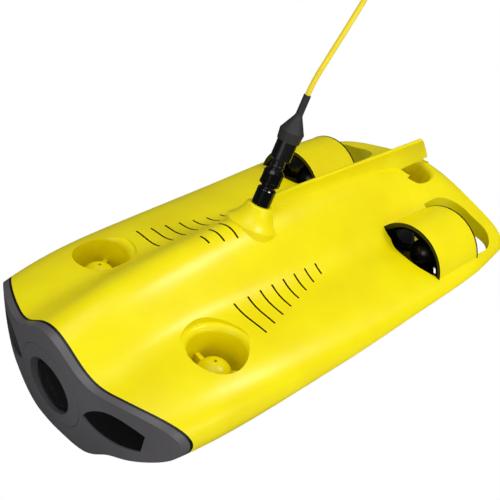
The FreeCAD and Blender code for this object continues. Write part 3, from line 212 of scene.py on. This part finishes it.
# Painted shade near black goes on the slot walls and the inside faces of both shells.
paint_inside_shade(yellow_shell_painted_shade)
LIFT_DUCTS = ("front_port", "front_starboard", "rear")
finish_nodes(yellow_shell_painted_shade, "upper_shell", "lower_shell")
finish_nodes(yellow_abs, *[f"{duct}_stator" for duct in LIFT_DUCTS])

# ----------------------------------------------------------------------- nose panel
# A dark grey glass-filled nylon panel closes the nose, with a black silicone cord
# gasket pinched behind it. A round cover of the same nylon frames the camera window.
grey_nylon = moulded("grey_moulded_nylon", "#585659", "#525054", 0.4, 0.5, 0.02)
black_silicone = moulded("black_silicone_rubber", "#0d0d0e", "#090909", 0.5, 0.8, 0.01)
finish_nodes(grey_nylon, "nose_bezel", "window_ring")
finish_nodes(black_silicone, "nose_gasket", "front_cap_seal", "rear_cap_seal")


# ------------------------------------------------------------- windows, lens, lamps
# The camera looks through a polished polycarbonate window, and the lamps sit behind
# smoked polycarbonate windows let into the panel. The camera's tube and the lamps'
# bowls behind them are moulded in polished black nylon.
POLYCARBONATE_IOR = 1.58
SMEAR_SCALE = 60.0
SMEAR_SPREAD = (0.6, 1.4)


def clear_plate(name, tint, roughness):
    """A polished clear plastic: what lies behind shows through its tint, under a mirror."""
    material, tree, output = new_material(name)
    smear = add_node(tree, "ShaderNodeTexNoise", sockets={"Scale": SMEAR_SCALE, "Detail": 2.0})
    gloss = add_node(tree, "ShaderNodeMapRange", links={"Value": smear.outputs["Fac"]},
                     sockets={"To Min": roughness * SMEAR_SPREAD[0], "To Max": roughness * SMEAR_SPREAD[1]})
    through = add_node(tree, "ShaderNodeBsdfTransparent", sockets={"Color": linear(tint)})
    mirror = add_node(tree, "ShaderNodeBsdfGlossy", links={"Roughness": gloss.outputs["Result"]})
    edge_on = add_node(tree, "ShaderNodeFresnel", sockets={"IOR": POLYCARBONATE_IOR})
    plate = add_node(tree, "ShaderNodeMixShader", links={"Fac": edge_on.outputs["Fac"]})
    tree.links.new(through.outputs["BSDF"], plate.inputs[1])
    tree.links.new(mirror.outputs["BSDF"], plate.inputs[2])
    tree.links.new(plate.outputs["Shader"], output.inputs["Surface"])
    return material


clear_polycarbonate = clear_plate("clear_polycarbonate", "#b8b8bc", 0.03)
smoked_polycarbonate = clear_plate("smoked_polycarbonate", "#4a4a4c", 0.05)
black_nylon = moulded("black_moulded_nylon", "#0b0b0c", "#070708", 0.35, 0.5, 0.01)
finish_nodes(clear_polycarbonate, "camera_window", "camera_lens")
finish_nodes(smoked_polycarbonate, "port_lamp_window", "starboard_lamp_window")
finish_nodes(black_nylon, "electronics_tray", "depth_sensor", "port_lamp_board", "starboard_lamp_board")
polished_nylon = moulded("polished_black_nylon", "#060607", "#040404", 0.12, 1.5, 0.003)
finish_nodes(polished_nylon, "port_lamp_bowl", "starboard_lamp_bowl", "camera_tube", "lens_barrel")

# ---------------------------------------------------------------- thrust nacelles
# Each nacelle has a gloss black ABS liner, pressed in from behind, whose bell mouth
# guides the water. The stator, moulded with its fairing, is semi-gloss black ABS.
gloss_black_abs = moulded("gloss_black_abs", "#070708", "#040404", 0.14, 1.2, 0.004)
semi_black_abs = moulded("semi_gloss_black_abs", "#121213", "#0c0c0d", 0.28, 0.6, 0.01)
for hand in ("port", "starboard"):
    finish_nodes(gloss_black_abs, f"{hand}_nacelle_liner")
    finish_nodes(semi_black_abs, f"{hand}_thrust_stator")


# -------------------------------------------------------------- motors and propellers
# Five sealed motors: black anodised aluminium cans screwed into the stators, with
# ground stainless shafts and semi-gloss black moulded propellers pushed on them.
MARKS_SPREAD = (0.75, 1.25)


def metal(name, colour, roughness, grain_mm):
    """A bare or anodised metal with fine turning or drawing marks."""
    material, tree, output = new_material(name)
    place = add_node(tree, "ShaderNodeTexCoord").outputs["Object"]
    marks = add_node(tree, "ShaderNodeTexNoise", links={"Vector": place},
                     sockets={"Scale": 1000 / grain_mm, "Detail": 4.0})
    gloss = add_node(tree, "ShaderNodeMapRange", links={"Value": marks.outputs["Fac"]},
                     sockets={"To Min": roughness * MARKS_SPREAD[0], "To Max": roughness * MARKS_SPREAD[1]})
    shader = add_node(tree, "ShaderNodeBsdfPrincipled", links={"Roughness": gloss.outputs["Result"]},
                      sockets={"Base Color": linear(colour), "Metallic": 1.0})
    tree.links.new(shader.outputs["BSDF"], output.inputs["Surface"])
    return material


black_anodised = metal("black_anodised_aluminium", "#2c2c2f", 0.35, 0.8)
ground_steel = metal("ground_stainless_steel", "#b9b7b2", 0.3, 0.5)
for unit in ("front_port", "front_starboard", "rear", "port_thrust", "starboard_thrust"):
    finish_nodes(black_anodised, f"{unit}_motor")
    finish_nodes(ground_steel, f"{unit}_rotor")
    finish_nodes(semi_black_abs, f"{unit}_propeller")

# --------------------------------------------------------- pressure housing and inside
# A clear-anodised aluminium tube with two machined caps holds the battery, a tray and
# the boards on it. The hull hides nearly all of it; the inserts and screws show below.
anodised = metal("clear_anodised_aluminium", "#9fa1a4", 0.4, 0.8)
brass = metal("turned_brass", "#c9a961", 0.28, 0.5)
solder_mask = moulded("green_solder_mask", "#1c5a38", "#174d30", 0.3, 1.0, 0.01)
shrink_wrap = moulded("blue_shrink_wrap", "#1d3f8a", "#193776", 0.35, 3.0, 0.05)
finish_nodes(anodised, "pressure_housing", "front_end_cap", "rear_end_cap")
finish_nodes(brass, "mount_inserts")
finish_nodes(ground_steel, "ballast_weights", "shell_screws")
finish_nodes(solder_mask, "camera_board", "control_board", "motor_driver_board")
finish_nodes(shrink_wrap, "battery_pack")

# ------------------------------------------------------------- connector and tether
# A gloss black screw connector stands in the hull's boss, with a semi-gloss plug and
# grip sleeve and a tapered rubber boot moulded over the line. The tether is a floating
# line in a yellow polyurethane sheath, held taut from above.
boot_rubber = moulded("matt_black_rubber", "#2b2b2c", "#252526", 0.6, 0.5, 0.02)
finish_nodes(gloss_black_abs, "tether_socket", "coupling_nut")
finish_nodes(semi_black_abs, "plug_body", "grip_sleeve", "topside_connector")
finish_nodes(boot_rubber, "strain_relief_boot")
yellow_sheath = moulded("yellow_polyurethane_sheath", "#f3dd22", "#ead016", 0.4, 0.7, 0.02, mottle_mm=15.0)

LEAN = math.radians(18.4)
SOCKET_FOOT = Vector((0.0134, 0, 0.1329))
TETHER_AXIS = Vector((-math.sin(LEAN), 0, math.cos(LEAN)))
BOOT_END = 0.0854
STRAIGHT_LEAD = 0.010
TETHER_DIAMETER = 0.004
ROUTE = [
    SOCKET_FOOT + TETHER_AXIS * BOOT_END,
    SOCKET_FOOT + TETHER_AXIS * (BOOT_END + STRAIGHT_LEAD),
    Vector((-0.0278, 0, 0.2395)),
    Vector((-0.0468, 0, 0.2677)),
    Vector((-0.0605, 0, 0.2890)),
]
tether_curve = bpy.data.curves.new("tether_line", "CURVE")
tether_curve.dimensions = "3D"
tether_curve.bevel_depth = TETHER_DIAMETER / 2
tether_curve.bevel_resolution = 6
tether_curve.use_fill_caps = True
line = tether_curve.splines.new("NURBS")
line.points.add(len(ROUTE) - 1)
for point, place in zip(line.points, ROUTE):
    point.co = (*place, 1.0)
line.order_u = 3
line.use_endpoint_u = True
line.resolution_u = 12
tether_curve.materials.append(yellow_sheath)
tether = bpy.data.objects.new("tether_line", tether_curve)
bpy.context.scene.collection.objects.link(tether)
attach(tether, "hull")
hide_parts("tether")

# -------------------------------------------------------------------- floor and light
# White sweep paper under soft studio light: a large key overhead, fills from port and
# from ahead, and a small box that draws the highlight along the port shoulder. Flags
# keep the paper and the surround dim in mirror-like faces, so that black stays black.
HALF_FLOOR = 3.0
SEEN_WHITE = 1.0
FLAGGED_FLOOR = 0.06
FLAGGED_SURROUND = 0.07
SURROUND_LIGHT = 0.37

floor_mesh = bpy.data.meshes.new("studio_floor")
floor_mesh.from_pydata([(-HALF_FLOOR, -HALF_FLOOR, 0), (HALF_FLOOR, -HALF_FLOOR, 0),
                        (HALF_FLOOR, HALF_FLOOR, 0), (-HALF_FLOOR, HALF_FLOOR, 0)], [], [(0, 1, 2, 3)])
floor = bpy.data.objects.new("studio_floor", floor_mesh)
bpy.context.scene.collection.objects.link(floor)
floor_paint, tree, output = new_material("white_sweep_paper")
paper = add_node(tree, "ShaderNodeBsdfDiffuse", sockets={"Color": linear("#e6e6e6")})
glow = add_node(tree, "ShaderNodeEmission", sockets={"Color": linear("#ffffff"), "Strength": SEEN_WHITE})
seen = add_node(tree, "ShaderNodeLightPath")
flag = add_node(tree, "ShaderNodeEmission", sockets={"Color": linear("#ffffff"), "Strength": FLAGGED_FLOOR})
mirrored = add_node(tree, "ShaderNodeMixShader", links={"Fac": seen.outputs["Is Glossy Ray"]})
tree.links.new(paper.outputs["BSDF"], mirrored.inputs[1])
tree.links.new(flag.outputs["Emission"], mirrored.inputs[2])
lift = add_node(tree, "ShaderNodeMixShader", links={"Fac": seen.outputs["Is Camera Ray"]})
tree.links.new(mirrored.outputs["Shader"], lift.inputs[1])
tree.links.new(glow.outputs["Emission"], lift.inputs[2])
tree.links.new(lift.outputs["Shader"], output.inputs["Surface"])
floor_mesh.materials.append(floor_paint)


def softbox(name, place, width, height, power, aim=(0, 0, 0.06)):
    """A rectangular area lamp that faces the vehicle."""
    light = bpy.data.lights.new(name, "AREA")
    light.shape = "RECTANGLE"
    light.size = width
    light.size_y = height
    light.energy = power
    lamp = bpy.data.objects.new(name, light)
    lamp.location = place
    lamp.rotation_euler = (Vector(aim) - Vector(place)).to_track_quat("-Z", "Y").to_euler()
    bpy.context.scene.collection.objects.link(lamp)


softbox("key_softbox", (0.4, 0.1, 1.5), 1.0, 1.0, 6.5)
softbox("port_fill", (0.2, 1.5, 0.6), 1.4, 0.5, 6.0)
softbox("nose_fill", (1.6, 0.3, 0.7), 0.8, 0.8, 5.0)
softbox("shoulder_strip", (-0.45, 0.52, 1.15), 0.14, 0.36, 5.0, aim=(0.11, 0.09, 0.07))

world = bpy.data.worlds.new("studio_surround")
world.use_nodes = True
bpy.context.scene.world = world
tree = world.node_tree
tree.nodes.clear()
seen = add_node(tree, "ShaderNodeLightPath")
sky = add_node(tree, "ShaderNodeBackground",
               sockets={"Color": linear("#ffffff"), "Strength": SURROUND_LIGHT})
for ray, strength in (("Is Glossy Ray", FLAGGED_SURROUND), ("Is Camera Ray", SEEN_WHITE)):
    other = add_node(tree, "ShaderNodeBackground",
                     sockets={"Color": linear("#ffffff"), "Strength": strength})
    blend = add_node(tree, "ShaderNodeMixShader", links={"Fac": seen.outputs[ray]})
    tree.links.new(sky.outputs[0], blend.inputs[1])
    tree.links.new(other.outputs["Background"], blend.inputs[2])
    sky = blend
surround = add_node(tree, "ShaderNodeOutputWorld")
tree.links.new(sky.outputs[0], surround.inputs["Surface"])
